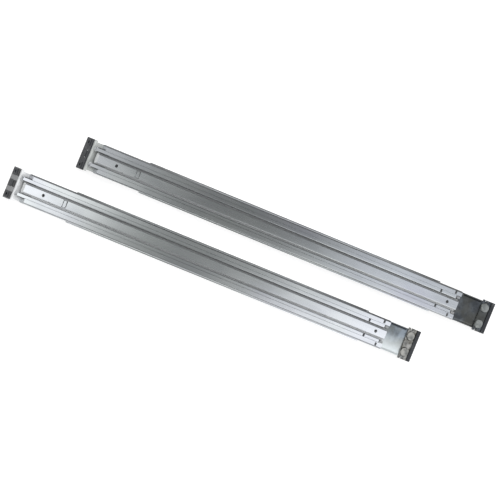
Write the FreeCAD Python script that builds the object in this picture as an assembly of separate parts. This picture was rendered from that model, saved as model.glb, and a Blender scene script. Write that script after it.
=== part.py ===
"""Pair of telescoping server rails, laid open with both server faces up.

Each rail is built in its own frame and then set in place: X runs from the front rack face (x = 0)
to the rear one, Y across the rail, Z up from the flange edges that it lies on. The left rail is
the mirror image of the right one and lies further back. The row origin is the middle of the pair,
on the surface. All sizes are millimetres.
"""

import FreeCAD, Part
import math
import os

# Rack interface
hole_pitch = 15.875
lug_size = 9.3
lug_reach = 0.9
window_size = 9.6
tap_hole = 4.2
lug_stem = 6.6
lug_chamfer = 0.8
flange_width = 43.6
flange_height = 19.0
lug_plate_gauge = 1.5
flange_gauge = 2.0
flange_bend = 3.0
arm_rise = 0.6

# Lengths along the rail
closed_length = 649.0
slide_start = 16.0
slide_end_gap = 53.7
middle_setback = 6.3
middle_start = 3.5
inner_start = 9.0
inner_setback = 1.0
middle_travel = 295.0
inner_travel = 295.0
depth_travel = 240.0

# Rolled sections, measured across the rail from its centreline
outer_half = 20.25
outer_gauge = 1.5
outer_neck = 0.9
outer_lip_edge = 13.0
track_slope = 2.6
slide_depth = 12.4
middle_gauge = 1.3
middle_roll = 7.6
roll_depth = 1.9
inner_gauge = 1.2
inner_web_half = 6.4
inner_proud = 0.6
inner_bend = 0.9
roll_bend = 1.1
race_bend = 1.6

# Balls and cages
outer_ball = 4.0
inner_ball = 3.2
race_play = 0.3
cage_gauge = 0.7
cage_play = 0.3
cage_end = 8.0
cage_margin = 5.0
balls_per_row = 4
ball_sides = 8
ball_rings = (-55.0, 0.0, 55.0)
pocket_play = 0.1

# Support channel and depth adjustment
channel_gauge = 1.2
channel_half = 21.6
channel_wall = 7.7
channel_start = 92.4
channel_setback = 33.7
plate_gauge = 2.0
plate_half = 19.55
plate_play = 0.4
plate_setback = 32.6
plate_end_gap = 6.0
slot_half = 3.2
slot_play = 0.1
slot_margin = 10.0
slot_stop = 2.0
lip_gap = 4.7
lip_length = 28.0
lip_depth = 6.0

# Rear bracket
foot_length = 19.0
relief_radius = 3.2
rear_rivet_head = 13.0
rear_rivet_rise = 1.6
rear_rivet_gap = 0.6
rear_rivet_pitch = 22.6
rear_rivet_sides = 28
relief_sides = 20
rear_cap_leg = 6.0
rear_cap_bend = 1.2

# Latches
latch_width = 9.2
latch_gauge = 2.4
latch_pin_place = 30.0
latch_boss = 8.0
latch_tail = 28.0
latch_drop = 4.4
latch_slope = 4.0
latch_slope_under = 6.0
latch_travel = 4.0
nose_size = 9.2
nose_length = 6.0
boss_chamfer = 2.0
pin_diameter = 4.0
pin_play = 0.05
pin_sides = 16
ear_gauge = 1.6
ear_gap = 0.4
ear_length = 12.0
spring_gauge = 0.5
spring_width = 6.0
spring_run = 13.0
spring_under_run = 9.75
spring_bend = 1.0

# Rivets, holes and stops
rivet_shank = 4.0
rivet_head = 8.0
rivet_rise = 1.4
rivet_bevel = 0.9
rivet_play = 0.03
bracket_reach = 88.0
bracket_rivet_front = 46.0
bracket_rivet_inset = 10.0
channel_rivet_inset = 11.6
channel_rivet_setback = 21.6
server_hole = 4.5
server_hole_front = 39.0
server_hole_setback = 16.5
notch_centre = 50.3
notch_length = 4.0
notch_depth = 1.3
stop_slot_setback = 30.9
stop_slot_length = 3.0
stop_slot_pitch = 21.0
stop_slot_width = 4.2
bumper_length = 5.0
bumper_half = 12.4
tongue_setback = 10.0

# Release lever in the inner rail and lock pawl on the middle rail
window_start = 69.7
window_length = 7.1
window_half = 4.8
pad_gap = 1.6
lever_gauge = 1.0
lever_nose = 7.0
lever_pivot = 118.0
lever_knuckle = 3.0
lever_pin = 1.6
lever_drop = 1.65
lever_play = 0.4
pawl_setback = 69.0
pawl_gauge = 1.0
pawl_length = 44.0
pawl_half = 4.0
pawl_hook = 4.5
pawl_hook_length = 5.0
pawl_hook_root = 8.0
pawl_waist = 1.0
pawl_tail = 8.0
pawl_head = 8.0
seat_play = 0.3

# The pair
rail_spacing = 72.5
stagger = 84.0
left_drawn = 5.0

# Places along the rail, and levels of the stack: channel web, plate, slide
lug_height = flange_height / 2
arm_top = flange_height + arm_rise
plate_top = arm_top - plate_play
plate_under = plate_top - plate_gauge
channel_top = plate_under - plate_play
outer_web_top = arm_top + outer_gauge
lip_top = arm_top + slide_depth
middle_lip_top = lip_top - outer_gauge - seat_play
slide_end = closed_length - slide_end_gap
middle_end = slide_end - middle_setback
inner_end = slide_end - inner_setback
channel_end = slide_end - channel_setback
plate_start = channel_start + plate_setback
slot_start = plate_start + slot_margin
lip_start = slide_end + lip_gap
lip_end = lip_start + lip_length
stop_slot_centre = slide_end - stop_slot_setback
pawl_pivot = middle_end - pawl_setback
server_hole_rear = inner_end - server_hole_setback
slot_rivet = slot_start + slot_half + slot_stop + depth_travel
bracket_rivet_rows = (bracket_rivet_front, bracket_reach - bracket_rivet_inset)
channel_rivet_rows = (channel_start + channel_rivet_inset, slot_rivet, channel_end - channel_rivet_setback)

# Half widths worked out from the ball rows
outer_face = outer_half - outer_gauge
middle_half = outer_face - outer_ball - 2 * race_play
middle_face = middle_half - middle_gauge
inner_half = middle_face - inner_ball - 2 * race_play
cage_web = outer_web_top + cage_play + cage_gauge / 2
middle_web = cage_web + cage_gauge / 2 + cage_play + middle_gauge / 2
middle_web_top = middle_web + middle_gauge / 2
inner_web = lip_top + inner_proud - inner_gauge / 2
inner_web_under = inner_web - inner_gauge / 2
roll_edge = middle_lip_top - roll_depth
inner_shoulder = roll_edge - cage_play - inner_gauge / 2
inner_foot = middle_web_top + pawl_gauge + 2 * seat_play
outer_ball_level = (outer_web_top + lip_top - outer_gauge) / 2
inner_ball_level = (inner_foot + inner_shoulder) / 2
outer_row = (outer_face + middle_half) / 2
inner_row = (middle_face + inner_half) / 2


def vec(x, y, z):
    return FreeCAD.Vector(x, y, z)


def box(x0, x1, y0, y1, z0, z1):
    return Part.makeBox(x1 - x0, y1 - y0, z1 - z0, vec(x0, y0, z0))


def rod(radius, start, end):
    """A round bar between two points."""
    along = end - start
    return Part.makeCylinder(radius, along.Length, start, along)


def facet(points):
    return Part.Face(Part.makePolygon(points + points[:1]))


def ring(radius, sides, x, y, z):
    """Corners spaced evenly on a level circle."""
    turns = [2 * math.pi * (k + 0.5) / sides for k in range(sides)]
    return [vec(x + radius * math.cos(turn), y + radius * math.sin(turn), z) for turn in turns]


def stacked(rings):
    """A solid with flat facets between level rings of corners, closed by its first and last ring."""
    faces = [facet(rings[0]), facet(rings[-1])]
    for low, high in zip(rings, rings[1:]):
        for k in range(len(low)):
            faces.append(facet([low[k - 1], low[k], high[k], high[k - 1]]))
    return Part.makeSolid(Part.makeShell(faces))


def stud(radius, x, y, z0, z1, end_radius=None, sides=12):
    """An upright rivet shank or head with flats, straight or tapering to its end."""
    return stacked([ring(radius, sides, x, y, z0), ring(end_radius or radius, sides, x, y, z1)])


def cross_pin(radius, x, reach, z):
    """A pin across the rail, with flats fine enough to turn in a bore of its own kind."""
    upright = stud(radius, 0, 0, -reach, reach, sides=pin_sides)
    return upright.rotated(vec(0, 0, 0), vec(1, 0, 0), 90).translated(vec(x, 0, z))


def fuse(first, *others):
    return first.multiFuse(list(others)).removeSplitter()


def strip_face(points, gauge, bend, place):
    """The section of bent sheet: a centreline of straight runs with one bend radius, and its gauge."""
    runs = [(b[0] - a[0], b[1] - a[1]) for a, b in zip(points, points[1:])]
    runs = [(u / math.hypot(u, v), v / math.hypot(u, v)) for u, v in runs]
    sides = []
    for offset in (gauge / 2, -gauge / 2):
        edges = []
        u, v = points[0]
        last = (u - runs[0][1] * offset, v + runs[0][0] * offset)
        for corner, before, after in zip(points[1:-1], runs, runs[1:]):
            turn = before[0] * after[1] - before[1] * after[0]
            side = math.copysign(1, turn)
            half_turn = math.acos(before[0] * after[0] + before[1] * after[1]) / 2
            back = bend * math.tan(half_turn)
            start = (corner[0] - before[0] * back, corner[1] - before[1] * back)
            end = (corner[0] + after[0] * back, corner[1] + after[1] * back)
            centre = (start[0] - before[1] * side * bend, start[1] + before[0] * side * bend)
            reach = math.hypot(corner[0] - centre[0], corner[1] - centre[1])
            radius = bend - side * offset
            middle = [c + (k - c) / reach * radius for c, k in zip(centre, corner)]
            enter = (start[0] - before[1] * offset, start[1] + before[0] * offset)
            leave = (end[0] - after[1] * offset, end[1] + after[0] * offset)
            edges.append(Part.LineSegment(place(*last), place(*enter)).toShape())
            edges.append(Part.Arc(place(*enter), place(*middle), place(*leave)).toShape())
            last = leave
        u, v = points[-1]
        finish = (u - runs[-1][1] * offset, v + runs[-1][0] * offset)
        edges.append(Part.LineSegment(place(*last), place(*finish)).toShape())
        sides.append(edges)
    ends = []
    for k in (0, -1):
        caps = [side[k].Vertexes[k].Point for side in sides]
        ends.append(Part.LineSegment(*caps).toShape())
    wire = Part.Wire(Part.__sortEdges__(sides[0] + sides[1] + ends))
    return Part.Face(wire)


def rolled(half_points, gauge, bend, x0, x1):
    """A section symmetric about the rail's centreline, extruded along X."""
    points = [(-y, z) for y, z in reversed(half_points)] + half_points
    face = strip_face(points, gauge, bend, lambda y, z: vec(x0, y, z))
    return face.extrude(vec(x1 - x0, 0, 0))


def folded(points, gauge, bend, half_width):
    """A strip bent in side view, extruded across the rail."""
    face = strip_face(points, gauge, bend, lambda x, z: vec(x, -half_width, z))
    return face.extrude(vec(0, 2 * half_width, 0))


def slot(x0, x1, half, z0, z1):
    """A round-ended slot along X."""
    ends = [rod(half, vec(x, 0, z0), vec(x, 0, z1)) for x in (x0 + half, x1 - half)]
    return fuse(box(x0 + half, x1 - half, -half, half, z0, z1), *ends)


def rivet(x, y, head_under, head_top, top, head, shank):
    """A rivet with its bevelled head below and its shank flush above."""
    cap = stud(head / 2 - rivet_bevel, x, y, head_under, head_top, head / 2)
    return fuse(cap, stud(shank / 2, x, y, head_top, top))


def rivet_holes(rows, halves, z0, z1):
    radius = rivet_shank / 2 + rivet_play
    return [stud(radius, x, y, z0, z1) for x in rows for y in halves]


# ---- fixed rail -------------------------------------------------------------------------------


def stop_slots(x, y, top):
    """A slot in each lip, from y outwards; the lips' height above the web leaves the rest whole."""
    run = (x - stop_slot_length / 2, x + stop_slot_length / 2)
    return [
        box(*run, *sorted((s * y, s * (y + stop_slot_width))), top - outer_gauge - 1, top + 1)
        for s in (-1, 1)
    ]


def outer_rail():
    """Rolled C with a pressed ball track in each side, lips turned in over it and a stop at each end."""
    web = outer_web_top - outer_gauge / 2
    lip = lip_top - outer_gauge / 2
    track = outer_half - outer_gauge / 2
    side = track - outer_neck
    half = [
        (side, web),
        (track, web + track_slope),
        (track, lip - track_slope),
        (side, lip),
        (outer_lip_edge, lip),
    ]
    shape = rolled(half, outer_gauge, roll_bend, slide_start, slide_end)
    cuts = stop_slots(stop_slot_centre + stop_slot_pitch, outer_lip_edge + 1, lip_top)
    cuts += rivet_holes(bracket_rivet_rows + channel_rivet_rows, (0,), 0, lip)
    stops = [
        box(x0, x0 + outer_gauge, *sorted((s * (middle_half + seat_play), s * side)), web, lip)
        for x0 in (slide_start, slide_end - outer_gauge)
        for s in (-1, 1)
    ]
    return fuse(shape, *stops).cut(cuts)


def support_channel():
    """Shallow C that carries the outer rail and guides the depth plate."""
    web = channel_top - channel_gauge / 2
    side = channel_half - channel_gauge / 2
    half = [(side, web), (side, web + channel_wall)]
    shape = rolled(half, channel_gauge, race_bend, channel_start, channel_end)
    return shape.cut(rivet_holes(channel_rivet_rows, (0,), 0, channel_top + 1))


def channel_rivets():
    """Shouldered rivets: the shoulder spaces the channel from the rail and runs in the plate's slot."""
    under = channel_top - channel_gauge
    solids = []
    for x in channel_rivet_rows:
        body = rivet(x, 0, under - rivet_rise, under, outer_web_top, rivet_head, rivet_shank)
        shoulder = stud(slot_half - slot_play, x, 0, channel_top, arm_top)
        solids.append(fuse(body, shoulder))
    return Part.makeCompound(solids)


def latch_ears(arm_middle):
    """Two ears hanging from an arm, tapered below; distances run inwards from the rack face."""
    inner = latch_width / 2 + ear_gap
    half = ear_length / 2
    low = lug_height - half
    profile = [(-half, arm_middle), (-half, lug_height), (-half / 2, low), (half / 2, low),
               (half, lug_height), (half, arm_middle)]
    ears = []
    for y in (inner, -inner - ear_gauge):
        points = [vec(latch_pin_place + x, y, z) for x, z in profile]
        ears.append(facet(points).extrude(vec(0, ear_gauge, 0)))
    return ears


def pin_bore():
    return cross_pin(pin_diameter / 2 + pin_play, latch_pin_place, flange_width / 2, lug_height)


def lug_openings(depth):
    """Stem holes for the two lugs and the latch window between them, cut through the rack face."""
    cuts = [box(-1, depth, -window_size / 2, window_size / 2,
                lug_height - window_size / 2, lug_height + window_size / 2)]
    half = lug_stem / 2 + rivet_play
    for y in (-hole_pitch, hole_pitch):
        cuts.append(box(-1, depth, y - half, y + half, lug_height - half, lug_height + half))
    return cuts


def front_bracket():
    """Bent bracket: flange against the rack post, arm riveted under the outer rail, latch ears."""
    arm = arm_top - flange_gauge / 2
    flange = lug_plate_gauge + flange_gauge / 2
    points = [(flange, 0), (flange, arm), (bracket_reach, arm)]
    shape = folded(points, flange_gauge, flange_bend, flange_width / 2)
    cuts = lug_openings(lug_plate_gauge + flange_gauge + 1)
    neck = lug_plate_gauge + flange_gauge + flange_bend
    for s in (-1, 1):
        y0, y1 = sorted((s * plate_half, s * flange_width))
        cuts.append(box(neck, bracket_reach + 1, y0, y1, 0, arm_top + 1))
    cuts += rivet_holes(bracket_rivet_rows, (0,), 0, arm_top + 1)
    shape = fuse(shape, *latch_ears(arm))
    return shape.cut(cuts + [pin_bore()])


def bracket_rivets():
    under = arm_top - flange_gauge
    return Part.makeCompound([
        rivet(x, 0, under - rivet_rise, under, outer_web_top, rivet_head, rivet_shank)
        for x in bracket_rivet_rows
    ])


def front_lug_plate():
    """Flat backing plate of the lugs, on the outer face of the flange."""
    shape = box(0, lug_plate_gauge, -flange_width / 2, flange_width / 2, 0, flange_height)
    corners = [e for e in shape.Edges if e.BoundBox.YLength < 1e-6 and e.BoundBox.ZLength < 1e-6]
    return shape.makeChamfer(lug_chamfer, corners).cut(lug_openings(lug_plate_gauge + 1))


def lugs():
    """Two square lugs for the rack's square holes, tapped through, with stems held in the flange."""
    solids = []
    half = lug_size / 2
    for y in (-hole_pitch, hole_pitch):
        head = box(-lug_reach, 0, y - half, y + half, lug_height - half, lug_height + half)
        front = [e for e in head.Edges if e.BoundBox.XMax < 0]
        head = head.makeChamfer(lug_chamfer, front)
        reach = lug_plate_gauge + flange_gauge
        side = lug_stem / 2
        stem = box(0, reach, y - side, y + side, lug_height - side, lug_height + side)
        bore = rod(tap_hole / 2, vec(-lug_reach - 1, y, lug_height), vec(flange_width, y, lug_height))
        solids.append(fuse(head, stem).cut(bore))
    return Part.makeCompound(solids)


def latch():
    """Sliding bolt: a square nose in the middle window, a slotted boss on the pin and a finger tail."""
    low = lug_height - latch_gauge / 2
    high = lug_height + latch_gauge / 2
    tail = latch_pin_place + latch_tail
    half = latch_width / 2
    outline = [
        (0, high), (tail - latch_slope, high), (tail, high - latch_drop),
        (tail, high - latch_drop - latch_gauge), (tail - latch_slope_under, low), (0, low),
    ]
    points = [vec(x, -half, z) for x, z in outline]
    plate = facet(points).extrude(vec(0, 2 * half, 0))
    reach = nose_size / 2
    nose = box(-lug_reach, nose_length - lug_reach, -half, half, lug_height - reach, lug_height + reach)
    front = [e for e in nose.Edges if e.BoundBox.XMax < 0]
    nose = nose.makeChamfer(lug_chamfer, front)
    reach = latch_boss / 2
    boss = box(latch_pin_place - reach, latch_pin_place + latch_travel + reach, -half, half,
               lug_height - reach, lug_height + reach)
    upper = [e for e in boss.Edges if e.BoundBox.XLength < 1e-6 and e.BoundBox.ZLength < 1e-6]
    boss = boss.makeChamfer(boss_chamfer, upper)
    bores = [pin_bore().translated(vec(x, 0, 0)) for x in (0, latch_travel)]
    play = pin_diameter / 2 + pin_play
    run = (latch_pin_place, latch_pin_place + latch_travel)
    bores.append(box(*run, -half, half, lug_height - play, lug_height + play))
    return fuse(plate, nose, boss).cut(bores)


def latch_pin():
    """Plain pin pressed through the two ears."""
    reach = latch_width / 2 + ear_gap + ear_gauge
    return cross_pin(pin_diameter / 2, latch_pin_place, reach, lug_height)


def latch_spring(arm_under):
    """Folded leaf that bears on the bolt from the arm above it."""
    top = arm_under - spring_gauge / 2
    touch = lug_height + latch_gauge / 2 + spring_gauge
    front = lug_plate_gauge + flange_gauge + flange_bend
    points = [(front + spring_run, top), (front, top), (front + spring_under_run, touch)]
    return folded(points, spring_gauge, spring_bend, spring_width / 2)


def rear_bumper():
    """Nylon block with two posts, in the rear mouth, that the middle rail closes against."""
    x0 = slide_end - bumper_length
    base = box(x0, slide_end, -bumper_half, bumper_half, outer_web_top, inner_foot - seat_play)
    posts = []
    for s in (-1, 1):
        y0, y1 = sorted((s * (inner_half + seat_play), s * bumper_half))
        posts.append(box(x0, slide_end, y0, y1, outer_web_top, middle_lip_top))
    return fuse(base, *posts)


# ---- moving rails -----------------------------------------------------------------------------


def tongue_tips(y_in, y_out, x_tip, x_root):
    """Plan outline of one rounded tongue, as a tall block."""
    half = (y_out - y_in) / 2
    centre = (y_out + y_in) / 2
    round_end = rod(half, vec(x_tip + half, centre, 0), vec(x_tip + half, centre, lip_top + 5))
    return fuse(box(x_tip + half, x_root, y_in, y_out, 0, lip_top + 5), round_end)


def middle_rail():
    """Rolled C between the two ball rows; its rolled lips run on in front as two rounded tongues."""
    side = middle_half - middle_gauge / 2
    lip = middle_lip_top - middle_gauge / 2
    roll = middle_roll + middle_gauge / 2
    half = [(side, middle_web), (side, lip), (roll, lip), (roll, roll_edge)]
    shape = rolled(half, middle_gauge, roll_bend, middle_start, middle_end)
    root = middle_start + tongue_setback
    front = box(0, root, -outer_half, outer_half, 0, lip_top + 5)
    for s in (-1, 1):
        y_in, y_out = sorted((s * middle_roll, s * middle_half))
        front = front.cut(tongue_tips(y_in, y_out, middle_start, root))
    shape = shape.cut(front)
    radius = rivet_shank / 2 + rivet_play
    shape = shape.cut(stud(radius, pawl_pivot, 0, 0, inner_foot, sides=pin_sides))
    return shape.cut(stop_slots(stop_slot_centre, outer_lip_edge - stop_slot_width, middle_lip_top))


def inner_rail():
    """Hat section, closed in front: proud web for the server, shoulders and feet under the middle lips."""
    wall = inner_web_half - inner_gauge / 2
    foot = inner_half - inner_gauge / 2
    half = [(wall, inner_web), (wall, inner_shoulder), (foot, inner_shoulder), (foot, inner_foot)]
    shape = rolled(half, inner_gauge, inner_bend, inner_start, inner_end)
    top = inner_web + inner_gauge
    under = inner_web - inner_gauge
    cuts = [
        rod(server_hole / 2, vec(x, 0, under), vec(x, 0, top))
        for x in (server_hole_front, server_hole_rear)
    ]
    run = (window_start, window_start + window_length)
    cuts.append(box(*run, -window_half, window_half, under, top))
    for s in (-1, 1):
        y0, y1 = sorted((s * (inner_web_half - notch_depth), s * (inner_web_half + 1)))
        x0 = notch_centre - notch_length / 2
        cuts.append(box(x0, x0 + notch_length, y0, y1, inner_shoulder + inner_gauge, top))
    level = inner_web_under - lever_drop
    seat = lever_pin / 2 + rivet_play
    run = (lever_pivot - seat, lever_pivot + seat)
    cuts.append(box(*run, -inner_web_half, inner_web_half, level - seat, level + seat))
    nose = box(inner_start, inner_start + inner_gauge, -wall, wall, inner_foot, inner_web)
    return fuse(shape, nose).cut(cuts)


def ball_places(first, last):
    step = (last - first) / (balls_per_row - 1)
    return [first + step * k for k in range(balls_per_row)]


def cage_span(front, rear, travel):
    """The span in which a cage stays inside both rails while it moves half the travel."""
    return front + travel / 2 + cage_margin, rear - travel / 2 - cage_margin


outer_cage_span = cage_span(slide_start, middle_end, middle_travel)
inner_cage_span = cage_span(inner_start, inner_end, inner_travel)


def ball_cage(row, level, ball, low, high, span, joined):
    """Retainer strips with a pocket for each ball, joined across the rail by a web where asked."""
    if joined:
        shape = rolled([(row, low), (row, high)], cage_gauge, roll_bend, *span)
    else:
        shape = fuse_pair(box(*span, row - cage_gauge / 2, row + cage_gauge / 2, low, high))
    half = ball / 2 + pocket_play
    pockets = [
        box(x - half, x + half, -outer_half, outer_half, level - half, level + half)
        for x in ball_places(span[0] + cage_end, span[1] - cage_end)
    ]
    return shape.cut(pockets)


def fuse_pair(shape):
    """A piece and its mirror image across the centreline, as one group."""
    return Part.makeCompound([shape, shape.mirror(vec(0, 0, 0), vec(0, 1, 0))])


def faceted_ball(diameter):
    """A ball with few flat faces, in bands between two small flat poles."""
    radius = diameter / 2
    rings = []
    for degrees in ball_rings:
        tilt = math.radians(degrees)
        rings.append(ring(radius * math.cos(tilt), ball_sides, 0, 0, radius * math.sin(tilt)))
    return stacked(rings)


def ball_rows(row, level, ball, span):
    solid = faceted_ball(ball)
    return Part.makeCompound([
        solid.translated(vec(x, y, level))
        for x in ball_places(span[0] + cage_end, span[1] - cage_end)
        for y in (-row, row)
    ])


def outer_ball_cage():
    high = lip_top - outer_gauge - cage_play
    return ball_cage(outer_row, outer_ball_level, outer_ball, cage_web, high, outer_cage_span, True)


def inner_ball_cage():
    low = middle_web_top + cage_play
    high = middle_lip_top - middle_gauge - cage_play
    return ball_cage(inner_row, inner_ball_level, inner_ball, low, high, inner_cage_span, False)


def release_lever():
    """Lever under the inner web: nose, press pad in the window, knuckle on its pin."""
    level = inner_web_under - lever_drop
    pad_top = inner_web
    x0 = window_start - lever_nose
    half = window_half - lever_play
    bar = box(x0, lever_pivot, -half, half, level - lever_gauge / 2, level + lever_gauge / 2)
    pad_x0 = window_start + pad_gap
    pad_x1 = window_start + window_length - pad_gap
    pad = box(pad_x0, pad_x1, -half, half, level, pad_top)
    knuckle = cross_pin(lever_knuckle / 2, lever_pivot, half, level)
    return fuse(bar, pad, knuckle).cut(cross_pin(lever_pin / 2 + pin_play, lever_pivot, half + 1, level))


def release_pin():
    return cross_pin(lever_pin / 2, lever_pivot, inner_web_half, inner_web_under - lever_drop)


def lock_pawl():
    """Pawl that swings on the middle web and locks the open slide."""
    z0 = middle_web_top + seat_play
    z1 = z0 + pawl_gauge
    front = pawl_pivot - pawl_tail
    rear = pawl_pivot + pawl_length
    hook = pawl_hook + pawl_half
    outline = [
        (front, -pawl_half), (rear, -pawl_half), (rear, hook),
        (rear - pawl_hook_length, hook), (rear - pawl_hook_root, pawl_waist), (front, pawl_half),
    ]
    points = [vec(x, y, z0) for x, y in outline]
    plate = facet(points).extrude(vec(0, 0, pawl_gauge))
    return plate.cut(stud(rivet_shank / 2 + pin_play, pawl_pivot, 0, z0 - 1, z1 + 1, sides=pin_sides))


def pawl_rivet():
    z0 = middle_web_top + 2 * seat_play + pawl_gauge
    head = stud(pawl_head / 2, pawl_pivot, 0, z0, z0 + pawl_gauge)
    pivot = stud(rivet_shank / 2, pawl_pivot, 0, middle_web_top - middle_gauge, z0, sides=pin_sides)
    return fuse(head, pivot)


# ---- depth adjustment and rear bracket --------------------------------------------------------


def turned(shape):
    """A front end piece turned end for end, to sit at the rear rack face."""
    return shape.mirror(vec(closed_length / 2, 0, 0), vec(1, 0, 0))


def extension_plate():
    """Slotted plate that slides out of the rear of the channel, with turned-down lips behind the slide."""
    end = closed_length - plate_end_gap
    shape = box(plate_start, end, -plate_half, plate_half, plate_under, plate_top)
    web = plate_top - plate_gauge / 2
    side = plate_half - plate_gauge / 2
    lips = rolled([(side, web), (side, web - lip_depth)], plate_gauge, flange_bend, lip_start, lip_end)
    shape = shape.cut(box(lip_start, lip_end, -flange_width, flange_width, 0, lip_top))
    shape = fuse(shape, lips, *[turned(ear) for ear in latch_ears(web)])
    cuts = [slot(slot_start, channel_rivet_rows[-1] + slot_margin, slot_half, 0, lip_top)]
    cuts += rear_rivet_holes() + [turned(pin_bore())]
    return shape.cut(cuts)


def rear_rivet_place():
    return closed_length - rear_cap_leg - rear_rivet_head / 2 - rear_rivet_gap


def rear_rivet_holes():
    return rivet_holes((rear_rivet_place(),), (-rear_rivet_pitch / 2, rear_rivet_pitch / 2), 0, lip_top)


def rear_flange():
    """Angle bracket: foot riveted on the plate, flange against the rear rack post, relief notches."""
    foot = plate_top + flange_gauge / 2
    flange = closed_length - lug_plate_gauge - flange_gauge / 2
    points = [(closed_length - foot_length, foot), (flange, foot), (flange, 0)]
    shape = folded(points, flange_gauge, flange_bend, flange_width / 2)
    cuts = [turned(cut) for cut in lug_openings(lug_plate_gauge + flange_gauge + 1)]
    x = rear_rivet_place()
    half = flange_width / 2
    cuts += [stud(relief_radius, x, y, plate_top - 1, lip_top, sides=relief_sides) for y in (-half, half)]
    return shape.cut(cuts + rear_rivet_holes())


def rear_rivets():
    """Two large flat-headed rivets through foot and plate."""
    top = plate_top + flange_gauge
    solids = []
    for y in (-rear_rivet_pitch / 2, rear_rivet_pitch / 2):
        x = rear_rivet_place()
        radius = rear_rivet_head / 2
        cap = stud(radius, x, y, top, top + rear_rivet_rise, radius - rivet_bevel, rear_rivet_sides)
        solids.append(fuse(cap, stud(rivet_shank / 2, x, y, plate_under, top)))
    return Part.makeCompound(solids)


def rear_lug_plate():
    """Backing plate of the rear lugs, folded over the top of the angle bracket."""
    top = plate_top + flange_gauge + lug_plate_gauge / 2
    face = closed_length - lug_plate_gauge / 2
    points = [(closed_length - rear_cap_leg, top), (face, top), (face, 0)]
    shape = folded(points, lug_plate_gauge, rear_cap_bend, flange_width / 2)
    return shape.cut([turned(cut) for cut in lug_openings(lug_plate_gauge + 1)])


# ---- the pair ---------------------------------------------------------------------------------

rail_parts = {
    "front_bracket": front_bracket,
    "front_lug_plate": front_lug_plate,
    "front_lugs": lugs,
    "front_latch": latch,
    "front_latch_pin": latch_pin,
    "front_latch_spring": lambda: latch_spring(arm_top - flange_gauge),
    "bracket_rivets": bracket_rivets,
    "outer_rail": outer_rail,
    "support_channel": support_channel,
    "channel_rivets": channel_rivets,
    "rear_bumper": rear_bumper,
    "outer_ball_cage": outer_ball_cage,
    "outer_balls": lambda: ball_rows(outer_row, outer_ball_level, outer_ball, outer_cage_span),
    "middle_rail": middle_rail,
    "lock_pawl": lock_pawl,
    "pawl_rivet": pawl_rivet,
    "inner_ball_cage": inner_ball_cage,
    "inner_balls": lambda: ball_rows(inner_row, inner_ball_level, inner_ball, inner_cage_span),
    "inner_rail": inner_rail,
    "release_lever": release_lever,
    "release_pin": release_pin,
    "extension_plate": extension_plate,
    "rear_flange": rear_flange,
    "rear_rivets": rear_rivets,
    "rear_lug_plate": rear_lug_plate,
    "rear_lugs": lambda: turned(lugs()),
    "rear_latch": lambda: turned(latch()),
    "rear_latch_pin": lambda: turned(latch_pin()),
    "rear_latch_spring": lambda: turned(latch_spring(plate_under)),
}


rear_end = ("extension_plate", "rear_flange", "rear_rivets", "rear_lug_plate", "rear_lugs", "rear_latch",
            "rear_latch_pin", "rear_latch_spring")


def place(shape, side, name):
    """Sets a rail's piece in the pair: the left rail is mirrored, further back and a little drawn out."""
    centre_x = -(closed_length + stagger + left_drawn) / 2
    if side == "right":
        return shape.translated(vec(centre_x, -rail_spacing / 2, 0))
    mirrored = shape.mirror(vec(0, 0, 0), vec(0, 1, 0))
    drawn = left_drawn if name in rear_end else 0
    return mirrored.translated(vec(centre_x + stagger + drawn, rail_spacing / 2, 0))


def main():
    os.makedirs("parts", exist_ok=True)
    for name, make in rail_parts.items():
        shape = make()
        for side in ("right", "left"):
            place(shape, side, name).exportStep(f"parts/{side}_{name}.step")


main()
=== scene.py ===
"""A pair of sliding server rails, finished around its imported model.

Metres. X runs from the front rack face to the rear one, Y across the rails towards the left rail,
and Z up, from the flange edges that the rails lie on to the faces that carry the server.
"""

import bmesh
import bpy
import math
from functools import cached_property
from mathutils import Matrix, Vector


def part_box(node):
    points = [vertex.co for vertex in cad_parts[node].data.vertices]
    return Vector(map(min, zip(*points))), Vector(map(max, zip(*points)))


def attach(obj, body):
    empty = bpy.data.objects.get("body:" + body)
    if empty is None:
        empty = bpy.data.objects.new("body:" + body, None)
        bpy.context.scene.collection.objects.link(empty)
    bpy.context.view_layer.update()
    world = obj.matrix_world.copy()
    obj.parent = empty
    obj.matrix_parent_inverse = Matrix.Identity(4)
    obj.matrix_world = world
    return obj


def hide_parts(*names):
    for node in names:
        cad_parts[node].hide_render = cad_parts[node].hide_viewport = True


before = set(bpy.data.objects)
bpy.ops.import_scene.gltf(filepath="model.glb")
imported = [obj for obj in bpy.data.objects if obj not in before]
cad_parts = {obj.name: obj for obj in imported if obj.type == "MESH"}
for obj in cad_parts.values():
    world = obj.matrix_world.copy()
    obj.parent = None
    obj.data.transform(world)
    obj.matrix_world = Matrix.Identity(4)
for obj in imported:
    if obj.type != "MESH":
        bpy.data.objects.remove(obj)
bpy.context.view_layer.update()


# ---- Rolled rails ------------------------------------------------------------------------------
# Rails, support channels and release levers: cold-rolled steel strip, roll formed or pressed, then
# plated bright zinc. The rolling grain runs along the rail and the passivation leaves faint colour
# casts. Painted shade darkens the grooves, bends and edges, and paler paint stands for light in
# the ball races and towards the rails' ends.


class Wire:
    """A value in a node tree. Sums, differences and products of it are Math nodes."""

    def __init__(self, finish, socket):
        self.finish = finish
        self.socket = socket

    def __add__(self, other):
        return self.finish.math("ADD", self, other)

    def __sub__(self, other):
        return self.finish.math("SUBTRACT", self, other)

    def __rsub__(self, other):
        return self.finish.math("SUBTRACT", other, self)

    def __mul__(self, other):
        return self.finish.math("MULTIPLY", self, other)

    __radd__ = __add__
    __rmul__ = __mul__

    def size(self):
        return self.finish.math("ABSOLUTE", self)

    def or_larger(self, other):
        return self.finish.math("MAXIMUM", self, other)

    def between(self, start, end):
        """0 at start and before it, 1 at end and past it, smooth between; end may be the lower."""
        values = {"Value": self, "From Min": start, "From Max": end}
        return self.finish.node("ShaderNodeMapRange", {"interpolation_type": "SMOOTHSTEP"}, values)


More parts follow.
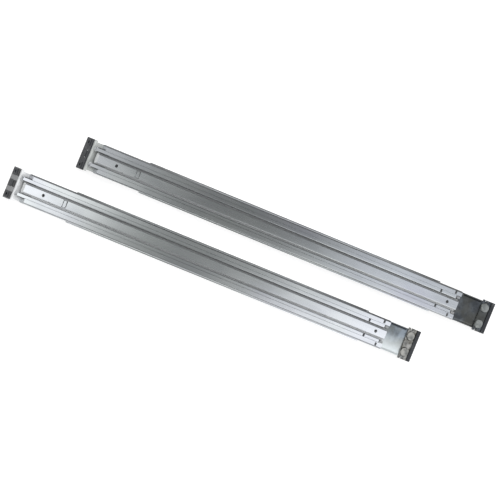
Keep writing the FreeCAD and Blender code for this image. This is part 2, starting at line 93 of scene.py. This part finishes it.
class Finish:
    """The nodes of a material, or of the world, under construction."""

    MIX_FIRST, MIX_SECOND, MIX_RESULT = 6, 7, 2    # a Mix node's colour sockets

    def __init__(self, owner):
        owner.use_nodes = True
        self.owner = owner
        self.tree = owner.node_tree
        self.tree.nodes.clear()

    def node(self, kind, settings=None, values=None, output=0):
        node = self.tree.nodes.new(kind)
        for name, value in (settings or {}).items():
            if name == "stops":
                ramp = node.color_ramp.elements
                while len(ramp) < len(value):
                    ramp.new(0.5)
                for element, (position, colour) in zip(ramp, value):
                    element.position = position
                    element.color = colour
            else:
                setattr(node, name, value)
        for name, value in (values or {}).items():
            if isinstance(value, Wire):
                self.tree.links.new(value.socket, node.inputs[name])
            else:
                node.inputs[name].default_value = value
        return Wire(self, node.outputs[output]) if node.outputs else None

    def math(self, operation, *values):
        return self.node("ShaderNodeMath", {"operation": operation}, dict(enumerate(values)))

    @cached_property
    def place(self):
        return self.node("ShaderNodeTexCoord", output="Object")

    @cached_property
    def facing(self):
        return self.node("ShaderNodeTexCoord", output="Normal")

    def axis(self, vector, name):
        return self.node("ShaderNodeSeparateXYZ", {}, {"Vector": vector}, output=name)

    def stretched(self, x, y, z):
        """Object coordinates scaled along each axis, for grain and streaks."""
        values = {"Vector": self.place, "Scale": (x, y, z)}
        return self.node("ShaderNodeMapping", {"vector_type": "POINT"}, values)

    def noise(self, where, scale=1.0, detail=3.0, roughness=0.55):
        values = {"Vector": where, "Scale": scale, "Detail": detail, "Roughness": roughness}
        return self.node("ShaderNodeTexNoise", {}, values)

    def mix(self, mask, first, second):
        values = {"Factor": mask, self.MIX_FIRST: first, self.MIX_SECOND: second}
        return self.node("ShaderNodeMix", {"data_type": "RGBA"}, values, self.MIX_RESULT)

    def bump(self, height, strength, depth):
        values = {"Height": height, "Strength": strength, "Distance": depth}
        return self.node("ShaderNodeBump", {}, values)

    def surface(self, **values):
        """Ends a material in a Principled BSDF, whose sockets are named with underscores."""
        sockets = {name.replace("_", " "): value for name, value in values.items()}
        shader = self.node("ShaderNodeBsdfPrincipled", {}, sockets)
        self.node("ShaderNodeOutputMaterial", {}, {"Surface": shader})
        return self.owner


def rgb(*levels):
    """An opaque colour."""
    return (*levels, 1.0)


def bend_shade_mask(sheet, far_side):
    """Painted shade on the bends: 1 where the sheet turns between level and upright and faces +Y,
    far_side where it faces -Y, 0 on its flats.
    """
    level = sheet.axis(sheet.facing, "Z").size()
    turned = level.between(0.998, 0.95) * level.between(0.08, 0.25)
    near = sheet.axis(sheet.facing, "Y").between(-0.1, 0.1)
    return turned * (near * (1 - far_side) + far_side)


def on_ends(sheet, start, end):
    """1 on walls and sheared edges that face along the rail."""
    return sheet.axis(sheet.facing, "X").size().between(start, end)


ZINC_LIGHT = rgb(0.618, 0.65, 0.658)
ZINC_DEEP = rgb(0.518, 0.55, 0.562)
VIOLET_CAST = rgb(0.60, 0.60, 0.70)
GREEN_CAST = rgb(0.55, 0.60, 0.57)
SCRATCHED = rgb(0.74, 0.75, 0.76)
PAINTED_BEND_SHADE = rgb(0.20, 0.205, 0.22)
SHADE_DARKEST = rgb(0.05, 0.053, 0.056)
SHADE_PALEST = rgb(0.80, 0.82, 0.83)


def zinc(name, painted_shade):
    """Bright zinc on rolled strip: lengthwise grain, soft blotches and a few fine scratches.

    The second argument gives, from the sheet, how far a dull painted shade covers it and how pale
    that shade is, its pale parts being painted light. The sheared ends are dull too.
    """
    sheet = Finish(bpy.data.materials.new(name))
    grain = sheet.noise(sheet.stretched(7, 420, 420), roughness=0.5)
    blotch = sheet.noise(sheet.stretched(14, 32, 32))
    cast = sheet.noise(sheet.stretched(7, 12, 12), detail=1.0)
    streak = sheet.noise(sheet.stretched(3, 1100, 1100), detail=2.0)
    scratch = streak.between(0.68, 0.74)

    metal = sheet.mix(blotch.between(0.35, 0.7), ZINC_LIGHT, ZINC_DEEP)
    violet = sheet.mix(cast.between(0.5, 0.75) * 0.35, metal, VIOLET_CAST)
    green = sheet.mix(cast.between(0.5, 0.25) * 0.30, violet, GREEN_CAST)
    lined = sheet.mix(scratch * 0.35, green, SCRATCHED)
    # Painted shade: the bends are darkened, most where they face +Y.
    bends = sheet.mix(bend_shade_mask(sheet, 0.5) * 0.6, lined, PAINTED_BEND_SHADE)
    # Painted shade in the grooves and along edges, and paler paint that stands for light.
    shade_cover, pale = painted_shade(sheet)

    dull = shade_cover.or_larger(on_ends(sheet, 0.5, 0.8) * 0.7)
    return sheet.surface(
        Base_Color=sheet.mix(shade_cover, bends, sheet.mix(pale, SHADE_DARKEST, SHADE_PALEST)),
        Metallic=1 - dull,
        Roughness=grain * 0.10 + blotch * 0.10 + 0.17 - scratch * 0.06 + dull * 0.3,
        Normal=sheet.bump(grain * 0.7 + streak * 0.3, strength=0.15, depth=0.00004),
    )


def rail_centre(side):
    """Y of a rail's centreline."""
    low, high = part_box(f"{side}_inner_rail")
    return (low[1] + high[1]) / 2


def across(sheet, side):
    """Place across the rail, from its centreline towards +Y."""
    return sheet.axis(sheet.place, "Y") - rail_centre(side)


def along_rail(sheet, side):
    """Place along the rail, from its front rack face."""
    rack_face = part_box(f"{side}_front_lug_plate")[0][0]
    return sheet.axis(sheet.place, "X") - rack_face


def end_wall(sheet):
    """1 on the walls that close a rail's ends."""
    return on_ends(sheet, 0.3, 0.7)


def below(sheet, top):
    """1 from 0.4 mm under this level, except on the end walls."""
    level = sheet.axis(sheet.place, "Z")
    return level.between(top - 0.0001, top - 0.0004) * (1 - end_wall(sheet))


# Where each painted shade and painted light fades in, along a rail from its front or across it from
# its centreline.
FAR_SIDE = (0.002, -0.002)
WEB_FRONT = (0.035, 0.025)
ROLLED_EDGE = (0.0086, 0.0080)
TONGUES = (0.027, 0.024)
OUTER_EDGE = (0.0176, 0.0190)
BALL_RACE = (0.0188, 0.0184)
FRONT_PALING = (0.16, 0.06)
REAR_PALING = (0.38, 0.50)
EDGE_SHADE_FRONT = (0.20, 0.10)
EDGE_SHADE_REAR = (0.40, 0.58)

# How pale the painted shade is, and how much paler paint stands for light; the right rail is painted
# paler at its front.
FRONT_PALING_BY_SIDE = {"right": 1.0, "left": 0.0}
SHADE_PALENESS = 0.18
FAR_SIDE_PALENESS = 0.33
END_PALENESS = 0.14
FAR_SIDE_END_PALENESS = 0.12
GROOVE_SHADE_COVER = 0.90
EDGE_SHADE_COVER = 0.92
RACE_PALENESS = 0.8
OUTLINE_DARKNESS = 0.9


def shade_paleness(sheet, side):
    """Painted shade, darker in the groove on the +Y side of the web and paler towards the ends, as
    painted light.
    """
    far_side = across(sheet, side).between(*FAR_SIDE)
    from_front = along_rail(sheet, side)
    toward_ends = from_front.between(*FRONT_PALING) * FRONT_PALING_BY_SIDE[side] + from_front.between(*REAR_PALING)
    end_paleness = toward_ends * (far_side * FAR_SIDE_END_PALENESS + END_PALENESS)
    return far_side * FAR_SIDE_PALENESS + end_paleness + SHADE_PALENESS


def web_groove(side, top):
    """Painted shade in the groove under the web's edges, and paler paint, as painted light, on the
    shaded wall that closes its front.
    """
    def painted_shade(sheet):
        wall = end_wall(sheet) * along_rail(sheet, side).between(*WEB_FRONT)
        groove_shade = below(sheet, top) * GROOVE_SHADE_COVER
        return groove_shade.or_larger(wall), shade_paleness(sheet, side).or_larger(wall)
    return painted_shade


def lips_and_tongues(side):
    """Painted shade on the rolled edges that face the web and on the tongues' bent edges, and paler
    paint in the race, as painted light.
    """
    def painted_shade(sheet):
        beside_web = across(sheet, side).size().between(*ROLLED_EDGE)
        tongue_outline_shade = bend_shade_mask(sheet, 1.0) * along_rail(sheet, side).between(*TONGUES)
        inside = below(sheet, roll_under)
        cover = beside_web.or_larger(tongue_outline_shade).or_larger(inside) * EDGE_SHADE_COVER
        pale = shade_paleness(sheet, side).or_larger(inside * RACE_PALENESS)
        return cover, pale * (1 - tongue_outline_shade * OUTLINE_DARKNESS)
    return painted_shade


def race_and_edge(side):
    """Paler paint in the ball races, as painted light, and painted shade along the +Y edge towards
    both ends.
    """
    def painted_shade(sheet):
        from_front = along_rail(sheet, side)
        toned = from_front.between(*EDGE_SHADE_REAR) * 0.9 + from_front.between(*EDGE_SHADE_FRONT) * 0.7
        edge = across(sheet, side).between(*OUTER_EDGE) * toned
        inside = across(sheet, side).size().between(*BALL_RACE) * below(sheet, lip_under)
        return edge.or_larger(inside), inside
    return painted_shade


def dress(material, *names):
    """Gives the material to these CAD nodes."""
    for name in names:
        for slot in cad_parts[name].material_slots:
            slot.material = material


SIDES = ("right", "left")
ROLL_DEPTH = 0.0024
LIP_DEPTH = 0.0015
web_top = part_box("right_inner_rail")[1][2]
pad_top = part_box("right_release_lever")[1][2]
roll_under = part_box("right_middle_rail")[1][2] - ROLL_DEPTH
lip_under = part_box("right_outer_rail")[1][2] - LIP_DEPTH
for side in SIDES:
    outer_zinc = zinc(f"zinc_{side}_outer", race_and_edge(side))
    dress(outer_zinc, f"{side}_outer_rail", f"{side}_support_channel")
    dress(zinc(f"zinc_{side}_middle", lips_and_tongues(side)), f"{side}_middle_rail")
    dress(zinc(f"zinc_{side}_inner", web_groove(side, web_top)), f"{side}_inner_rail")
    dress(zinc(f"zinc_{side}_lever", web_groove(side, pad_top)), f"{side}_release_lever")


# ---- Front brackets ----------------------------------------------------------------------------
# Thicker strip, bent up into the rack flange and riveted under the rail. It is barrel plated, so
# it is duller than the rolled sections. The right one is painted paler and the left one greyer,
# as painted light and painted shade.


def barrel_zinc(name, light, deep):
    coat = Finish(bpy.data.materials.new(name))
    cloud = coat.noise(coat.place, scale=60.0)
    speck = coat.noise(coat.place, scale=700.0, detail=2.0)
    return coat.surface(
        Base_Color=coat.mix(cloud.between(0.35, 0.7), light, deep),
        Metallic=0.35,
        Roughness=speck * 0.10 + cloud * 0.12 + 0.42,
        Normal=coat.bump(speck, strength=0.15, depth=0.00005),
    )


# Lit and shaded copies: the right bracket's paler colour is painted light, the left's greyer colour
# painted shade.
lit_barrel = barrel_zinc("barrel_zinc", rgb(0.80, 0.81, 0.82), rgb(0.68, 0.69, 0.70))
shaded_barrel = barrel_zinc("barrel_zinc_grey", rgb(0.58, 0.60, 0.59), rgb(0.46, 0.48, 0.47))
dress(lit_barrel, "right_front_bracket")
dress(shaded_barrel, "left_front_bracket")


# ---- Rear plates -------------------------------------------------------------------------------
# The sliding plate and its angle bracket carry a smoky passivation. On the left rail it is painted
# thick and dark, a painted dark reflection. On the right one the plate is painted pale towards its
# -Y edge, as painted light, and the bracket is pale in patches.

# Each is a factor on the smoke's own colour.
THICK_SMOKE = 0.7
THIN_SMOKE = 1.5
OLIVE_CAST = Vector((1.0, 0.9, 0.7))
FLECK = 1.9
# Painted shade on the bends is this factor on the smoke's colour.
SHADED_BEND = 0.6


def smoky_zinc(name, smoke, pale_colour, pale_mask):
    """The last argument gives, from the coat and its cloud, how far the smoke goes to the paler
    colour.
    """
    coat = Finish(bpy.data.materials.new(name))
    cloud = coat.noise(coat.place, scale=75.0, detail=4.0, roughness=0.6)
    fleck = coat.noise(coat.place, scale=520.0, roughness=0.6)
    cast = coat.noise(coat.place, scale=45.0, detail=2.0)

    thick = rgb(*smoke * THICK_SMOKE)
    clouded = coat.mix(cloud.between(0.35, 0.65), thick, rgb(*smoke * THIN_SMOKE))
    olive = coat.mix(cast.between(0.42, 0.60) * 0.6, clouded, rgb(*smoke * OLIVE_CAST))
    flecked = coat.mix(fleck.between(0.6, 0.75) * 0.25, olive, rgb(*smoke * FLECK))
    gone = pale_mask(coat, cloud)
    toned = coat.mix(gone, flecked, pale_colour)

    dull = (gone * 0.5).or_larger(on_ends(coat, 0.5, 0.8) * 0.8)
    return coat.surface(
        Base_Color=coat.mix(bend_shade_mask(coat, 0.0) * 0.6, toned, rgb(*smoke * SHADED_BEND)),
        Metallic=0.9 - dull,
        Roughness=cloud * 0.14 + fleck * 0.06 + 0.24,
        Normal=coat.bump(fleck, strength=0.2, depth=0.00005),
    )


rail_half = rail_centre("right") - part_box("right_outer_rail")[0][1]


# Painted light: paler towards the plate's -Y edge.
def painted_light_to_edge(coat, cloud):
    towards_edge = across(coat, "right") * (-0.5 / rail_half) + 0.5
    return (towards_edge + cloud * 0.15).between(0.294, 1.156)


def rubbed_patches(coat, cloud):
    return cloud.between(0.45, 0.65)


def scarcely_rubbed(coat, cloud):
    return cloud.between(0.60, 0.80) * 0.3


# The left plate's thick dark smoke is a painted dark reflection; the right plate's pale edge is
# painted light.
shaded_smoke = smoky_zinc(
    "smoky_zinc_dark",
    smoke=Vector((0.090, 0.100, 0.108)), pale_colour=rgb(0.16, 0.17, 0.17), pale_mask=scarcely_rubbed,
)
lit_smoke = smoky_zinc(
    "smoky_zinc_lit",
    smoke=Vector((0.155, 0.18, 0.205)), pale_colour=rgb(0.71, 0.76, 0.775), pale_mask=painted_light_to_edge,
)
mottled_smoke = smoky_zinc(
    "smoky_zinc_mottled",
    smoke=Vector((0.12, 0.124, 0.124)), pale_colour=rgb(0.33, 0.33, 0.315), pale_mask=rubbed_patches,
)
dress(shaded_smoke, "left_extension_plate", "left_rear_flange")
dress(lit_smoke, "right_extension_plate")
dress(mottled_smoke, "right_rear_flange")


# ---- Rack face pieces --------------------------------------------------------------------------
# Lug plates, lugs and latches: stamped and turned steel under a satin black conversion coat with
# fine pores, worn thin in patches. The right front plate is grey between its squares.

RACK_PITCH = 0.015875
SQUARE_HALF = 0.0048
GREY_BETWEEN = rgb(0.27, 0.275, 0.28)


def black_coat(name, dark, worn, pale_mask=None):
    """Its last argument gives, from the coat, how far it goes to grey."""
    coat = Finish(bpy.data.materials.new(name))
    pores = coat.noise(coat.place, scale=900.0, roughness=0.6)
    patch = coat.noise(coat.place, scale=110.0, detail=4.0, roughness=0.65)
    colour = coat.mix(patch.between(0.5, 0.78), dark, worn)
    if pale_mask:
        colour = coat.mix(pale_mask(coat), colour, GREY_BETWEEN)
    return coat.surface(
        Base_Color=colour,
        Metallic=0.35,
        Roughness=patch * 0.22 + 0.34,
        Normal=coat.bump(pores, strength=0.3, depth=0.00008),
    )


# Grey between the squares, dark over them.
def between_squares(coat):
    from_square = coat.math("PINGPONG", across(coat, "right"), RACK_PITCH / 2)
    return from_square.between(SQUARE_HALF - 0.0008, SQUARE_HALF + 0.0008)


def on_both(*names):
    """These nodes of both rails."""
    return [f"{side}_{name}" for side in SIDES for name in names]


black = black_coat("black_conversion_coat", rgb(0.028, 0.031, 0.036), rgb(0.11, 0.115, 0.12))
grey_between_black = black_coat(
    "black_coat_grey_between", rgb(0.04, 0.04, 0.042), rgb(0.08, 0.08, 0.082), between_squares,
)
dress(black, *on_both("front_lugs", "front_latch"), "left_front_lug_plate")
dress(black, *on_both("rear_lugs", "rear_latch", "rear_lug_plate"))
dress(grey_between_black, "right_front_lug_plate")


# ---- Rivets, pins and springs ------------------------------------------------------------------
# Cold-headed steel rivets and pins with a nickel plate, duller on the large rear rivets, and blued
# spring steel for the latches' leaves and the pawl.


def plain_steel(name, light, deep, roughness):
    """Bare or plated steel in faint patches, with this roughness on the mean."""
    steel = Finish(bpy.data.materials.new(name))
    fine = steel.noise(steel.place, scale=1400.0)
    patch = steel.noise(steel.place, scale=160.0)
    return steel.surface(
        Base_Color=steel.mix(patch.between(0.35, 0.7), light, deep),
        Metallic=1.0,
        Roughness=patch * 0.15 + (roughness - 0.07),
        Normal=steel.bump(fine, strength=0.2, depth=0.00004),
    )


nickel = plain_steel("nickel_plate", rgb(0.56, 0.56, 0.55), rgb(0.42, 0.42, 0.42), roughness=0.34)
dull_left = plain_steel("rivet_left", rgb(0.38, 0.40, 0.38), rgb(0.22, 0.235, 0.225), roughness=0.38)
dull_right = plain_steel("rivet_right", rgb(0.34, 0.34, 0.32), rgb(0.16, 0.165, 0.16), roughness=0.40)
blued = plain_steel("blued_spring_steel", rgb(0.24, 0.26, 0.30), rgb(0.16, 0.17, 0.21), roughness=0.30)
dress(nickel, *on_both("bracket_rivets", "channel_rivets", "pawl_rivet"))
dress(nickel, *on_both("front_latch_pin", "rear_latch_pin", "release_pin"))
dress(dull_left, "left_rear_rivets")
dress(dull_right, "right_rear_rivets")
dress(blued, *on_both("front_latch_spring", "rear_latch_spring", "lock_pawl"))


# ---- Ball cages and balls ----------------------------------------------------------------------
# Punched strip retainers, and full rows of the hard, ground bearing balls that they space. The
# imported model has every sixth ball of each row, with eight sides.


def as_object(name, mesh):
    data = bpy.data.meshes.new(name)
    mesh.to_mesh(data)
    mesh.free()
    thing = bpy.data.objects.new(name, data)
    bpy.context.scene.collection.objects.link(thing)
    return thing


BALL_RADIUS = {"outer": 0.0020, "inner": 0.0016}
BALLS_PER_ROW = 19
BALL_SEGMENTS = 16
BALL_RINGS = 10
PACKED_BALL_SIDES = 8


def ball_rows(side, race):
    """Both rows of one cage's balls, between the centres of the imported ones."""
    low, high = (Vector(corner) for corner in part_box(f"{side}_{race}_balls"))
    radius = BALL_RADIUS[race]
    reach = radius * math.cos(math.pi / PACKED_BALL_SIDES)
    pitch = (high.x - low.x - 2 * reach) / (BALLS_PER_ROW - 1)
    level = (low.z + high.z) / 2
    mesh = bmesh.new()
    for y in (low.y + reach, high.y - reach):
        for k in range(BALLS_PER_ROW):
            centre = Matrix.Translation((low.x + reach + pitch * k, y, level))
            bmesh.ops.create_uvsphere(
                mesh, u_segments=BALL_SEGMENTS, v_segments=BALL_RINGS, radius=radius, matrix=centre,
            )
    for face in mesh.faces:
        face.smooth = True
    return as_object(f"{side}_{race}_ball_rows", mesh)


ball_steel = plain_steel("ball_steel", rgb(0.72, 0.73, 0.75), rgb(0.66, 0.67, 0.69), roughness=0.14)
for side in SIDES:
    for race in BALL_RADIUS:
        rows = ball_rows(side, race)
        rows.data.materials.append(ball_steel)
        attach(rows, f"{side}_{race}_race")
        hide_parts(f"{side}_{race}_balls")

cage_strip = plain_steel("cage_strip", rgb(0.50, 0.50, 0.48), rgb(0.38, 0.38, 0.37), roughness=0.36)
dress(cage_strip, *on_both("outer_ball_cage", "inner_ball_cage"))


# ---- Bumpers -----------------------------------------------------------------------------------
# Moulded natural nylon blocks, pressed into the rear mouth of each outer rail, which the slides
# close against. Their skin is waxy and slightly uneven.

nylon = Finish(bpy.data.materials.new("natural_nylon"))
mottle = nylon.noise(nylon.place, scale=220.0)
natural_nylon = nylon.surface(
    Base_Color=nylon.mix(mottle, rgb(0.34, 0.35, 0.36), rgb(0.27, 0.28, 0.29)),
    Roughness=mottle * 0.2 + 0.4,
    Subsurface_Weight=0.1,
    Subsurface_Radius=(0.002, 0.0015, 0.001),
    Normal=nylon.bump(mottle, strength=0.2, depth=0.0001),
)
dress(natural_nylon, *on_both("rear_bumper"))


# ---- Studio ------------------------------------------------------------------------------------
# A white floor, a soft lamp, and a low overhead board that only reflections show. The board is lit
# over the rails, dimmer over the rails' middles, and dark beside them, which draws the bent edges.

WHITE = rgb(1.0, 1.0, 1.0)


def board(name, corner, far_corner):
    """A level rectangle between two opposite corners."""
    low, high = Vector(corner), Vector(far_corner)
    mesh = bmesh.new()
    bmesh.ops.create_grid(mesh, x_segments=1, y_segments=1, size=0.5)
    bmesh.ops.scale(mesh, verts=mesh.verts, vec=(high.x - low.x, high.y - low.y, 1))
    bmesh.ops.translate(mesh, verts=mesh.verts, vec=(low + high) / 2)
    plane = as_object(name, mesh)
    return plane


FLOOR_REACH = 6.0
FLOOR_TOP = -0.0005
FLOOR_COLOUR = rgb(0.55, 0.55, 0.55)
FLOOR_SEEN = 0.72
FLOOR_SHONE = 0.5

floor = board(
    "floor", (-FLOOR_REACH, -FLOOR_REACH, FLOOR_TOP), (FLOOR_REACH, FLOOR_REACH, FLOOR_TOP),
)
paper = Finish(bpy.data.materials.new("white_paper"))
seen = paper.node("ShaderNodeLightPath", output="Is Camera Ray")
passed = paper.node("ShaderNodeLightPath", output="Is Transmission Ray")
shone = paper.node("ShaderNodeLightPath", output="Is Glossy Ray")
lift_strength = (seen + passed) * FLOOR_SEEN + shone * FLOOR_SHONE
lift = paper.node("ShaderNodeEmission", {}, {"Color": WHITE, "Strength": lift_strength})
matt = paper.node("ShaderNodeBsdfDiffuse", {}, {"Color": FLOOR_COLOUR})
lifted = paper.node("ShaderNodeAddShader", {}, {0: matt, 1: lift})
paper.node("ShaderNodeOutputMaterial", {}, {"Surface": lifted})
floor.data.materials.append(paper.owner)

CAMERA_TILT = math.radians(28.0)
BOARD_HEIGHT = 0.25
BOARD_FRONT = -1.0
BOARD_LENGTH = 2.4
BOARD_HALF_WIDTH = 1.0
FULL_SHINE = 2.0
DARK_SHINE = 0.06
COOL_TINT = Vector((0.975, 0.985, 1.07))
PLAIN_TINT = Vector((1.0, 1.0, 1.0))
RIGHT_SHINE = [
    (-0.45, 1.90), (-0.31, 1.45), (-0.24, 0.58), (-0.15, 0.34),
    (-0.07, 0.34), (0.00, 0.55), (0.08, 1.20), (0.22, 1.60),
]
LEFT_SHINE = [
    (-0.45, 0.90), (-0.30, 0.78), (-0.25, 0.56), (-0.15, 0.26), (-0.06, 0.25),
    (0.03, 0.30), (0.12, 0.64), (0.21, 0.98), (0.29, 0.65),
]
LEAN = 0.06
LEAN_HALF_WIDTH = 0.022
WINDOW_RIGHT_EDGE = (-0.30, -0.22)
WINDOW_LEFT_EDGE = (0.16, 0.12)
BETWEEN_RAILS = (-0.03, 0.03)
REAR_HALF = (-0.02, 0.10)

mirrored_shift = BOARD_HEIGHT * math.tan(CAMERA_TILT)


def along_board(shine, x, levels, cool_from):
    """A ramp of light along X, cooler behind one place.

    Each level is given at the place along the rails that mirrors it to the camera.
    """
    stops = []
    for place, level in levels:
        tint = COOL_TINT if place > cool_from else PLAIN_TINT
        position = (place + mirrored_shift - BOARD_FRONT) / BOARD_LENGTH
        stops.append((position, rgb(*tint * (level / FULL_SHINE))))
    where = x * (1 / BOARD_LENGTH) + (-BOARD_FRONT / BOARD_LENGTH)
    return shine.node("ShaderNodeValToRGB", {"stops": stops}, {"Fac": where})


def over_rail(y, side):
    """From -0.5 to 0.5 across one rail."""
    centre = rail_centre(side)
    return y.between(centre - LEAN_HALF_WIDTH, centre + LEAN_HALF_WIDTH) - 0.5


def board_shine(shine):
    """The brightness of a place on the board, whose ramps lean across each rail."""
    x = shine.axis(shine.place, "X")
    y = shine.axis(shine.place, "Y")
    rear_half = x.between(*[place + mirrored_shift for place in REAR_HALF])
    right_x = x - over_rail(y, "right") * LEAN
    left_x = x - over_rail(y, "left") * rear_half * LEAN
    right_rail = along_board(shine, right_x, RIGHT_SHINE, cool_from=0.50)
    left_rail = along_board(shine, left_x, LEFT_SHINE, cool_from=0.05)
    lit = shine.mix(y.between(*BETWEEN_RAILS), right_rail, left_rail)
    window = y.between(*WINDOW_RIGHT_EDGE) * y.between(*WINDOW_LEFT_EDGE)
    dark = DARK_SHINE / FULL_SHINE
    return shine.mix(window, rgb(dark, dark, dark), lit)


overhead = board(
    "overhead_board",
    (BOARD_FRONT, -BOARD_HALF_WIDTH, BOARD_HEIGHT),
    (BOARD_FRONT + BOARD_LENGTH, BOARD_HALF_WIDTH, BOARD_HEIGHT),
)
shine = Finish(bpy.data.materials.new("overhead_shine"))
glow = shine.node("ShaderNodeEmission", {}, {"Color": board_shine(shine), "Strength": FULL_SHINE})
shine.node("ShaderNodeOutputMaterial", {}, {"Surface": glow})
overhead.data.materials.append(shine.owner)
overhead.visible_camera = False
overhead.visible_diffuse = False
overhead.visible_shadow = False
overhead.visible_transmission = False

SKY_SEEN = 1.0
SKY_LIGHT = 0.75

studio = bpy.data.worlds.new("studio")
bpy.context.scene.world = studio
sky = Finish(studio)
sky_seen = sky.node("ShaderNodeLightPath", output="Is Camera Ray")
sky_passed = sky.node("ShaderNodeLightPath", output="Is Transmission Ray")
sky_shone = sky.node("ShaderNodeLightPath", output="Is Glossy Ray")
in_view = sky_seen.or_larger(sky_passed).or_larger(sky_shone)
sky_strength = in_view * (SKY_SEEN - SKY_LIGHT) + SKY_LIGHT
sky_light = sky.node("ShaderNodeBackground", {}, {"Color": WHITE, "Strength": sky_strength})
sky.node("ShaderNodeOutputWorld", {}, {"Surface": sky_light})

LAMP_PLACE = Vector((-0.6, 0.7, 1.6))

lamp_data = bpy.data.lights.new("soft_lamp", "AREA")
lamp_data.shape = "DISK"
lamp_data.size = 1.2
lamp_data.energy = 14.0
lamp = bpy.data.objects.new("soft_lamp", lamp_data)
lamp_turn = LAMP_PLACE.to_track_quat("Z", "Y").to_matrix().to_4x4()
lamp.matrix_world = Matrix.Translation(LAMP_PLACE) @ lamp_turn
lamp.visible_glossy = False
bpy.context.scene.collection.objects.link(lamp)


# ---- Camera ------------------------------------------------------------------------------------
# A long lens that looks down at the pair from in front of the rack faces, rolled so that the
# rails run down to the right.

CAMERA_ROLL = math.radians(22.25)
VIEW_WIDTH = 0.665
VIEW_CENTRE = Vector((-0.0045, 0.0004, 0.0153))

uphill = Vector((math.cos(CAMERA_TILT), 0, math.sin(CAMERA_TILT)))
sideways = Vector((0, 1, 0))
back = Vector((-math.sin(CAMERA_TILT), 0, math.cos(CAMERA_TILT)))
right = uphill * math.cos(CAMERA_ROLL) + sideways * math.sin(CAMERA_ROLL)
up = sideways * math.cos(CAMERA_ROLL) - uphill * math.sin(CAMERA_ROLL)

camera_data = bpy.data.cameras.new("camera")
camera_data.lens = 1000.0
camera_data.sensor_width = 36.0
camera_data.clip_end = 100.0
distance = VIEW_WIDTH * camera_data.lens / camera_data.sensor_width
camera = bpy.data.objects.new("camera", camera_data)
camera_turn = Matrix((right, up, back)).transposed().to_4x4()
camera.matrix_world = Matrix.Translation(VIEW_CENTRE + back * distance) @ camera_turn
bpy.context.scene.collection.objects.link(camera)
bpy.context.scene.camera = camera

bpy.context.scene.view_settings.view_transform = "Standard"
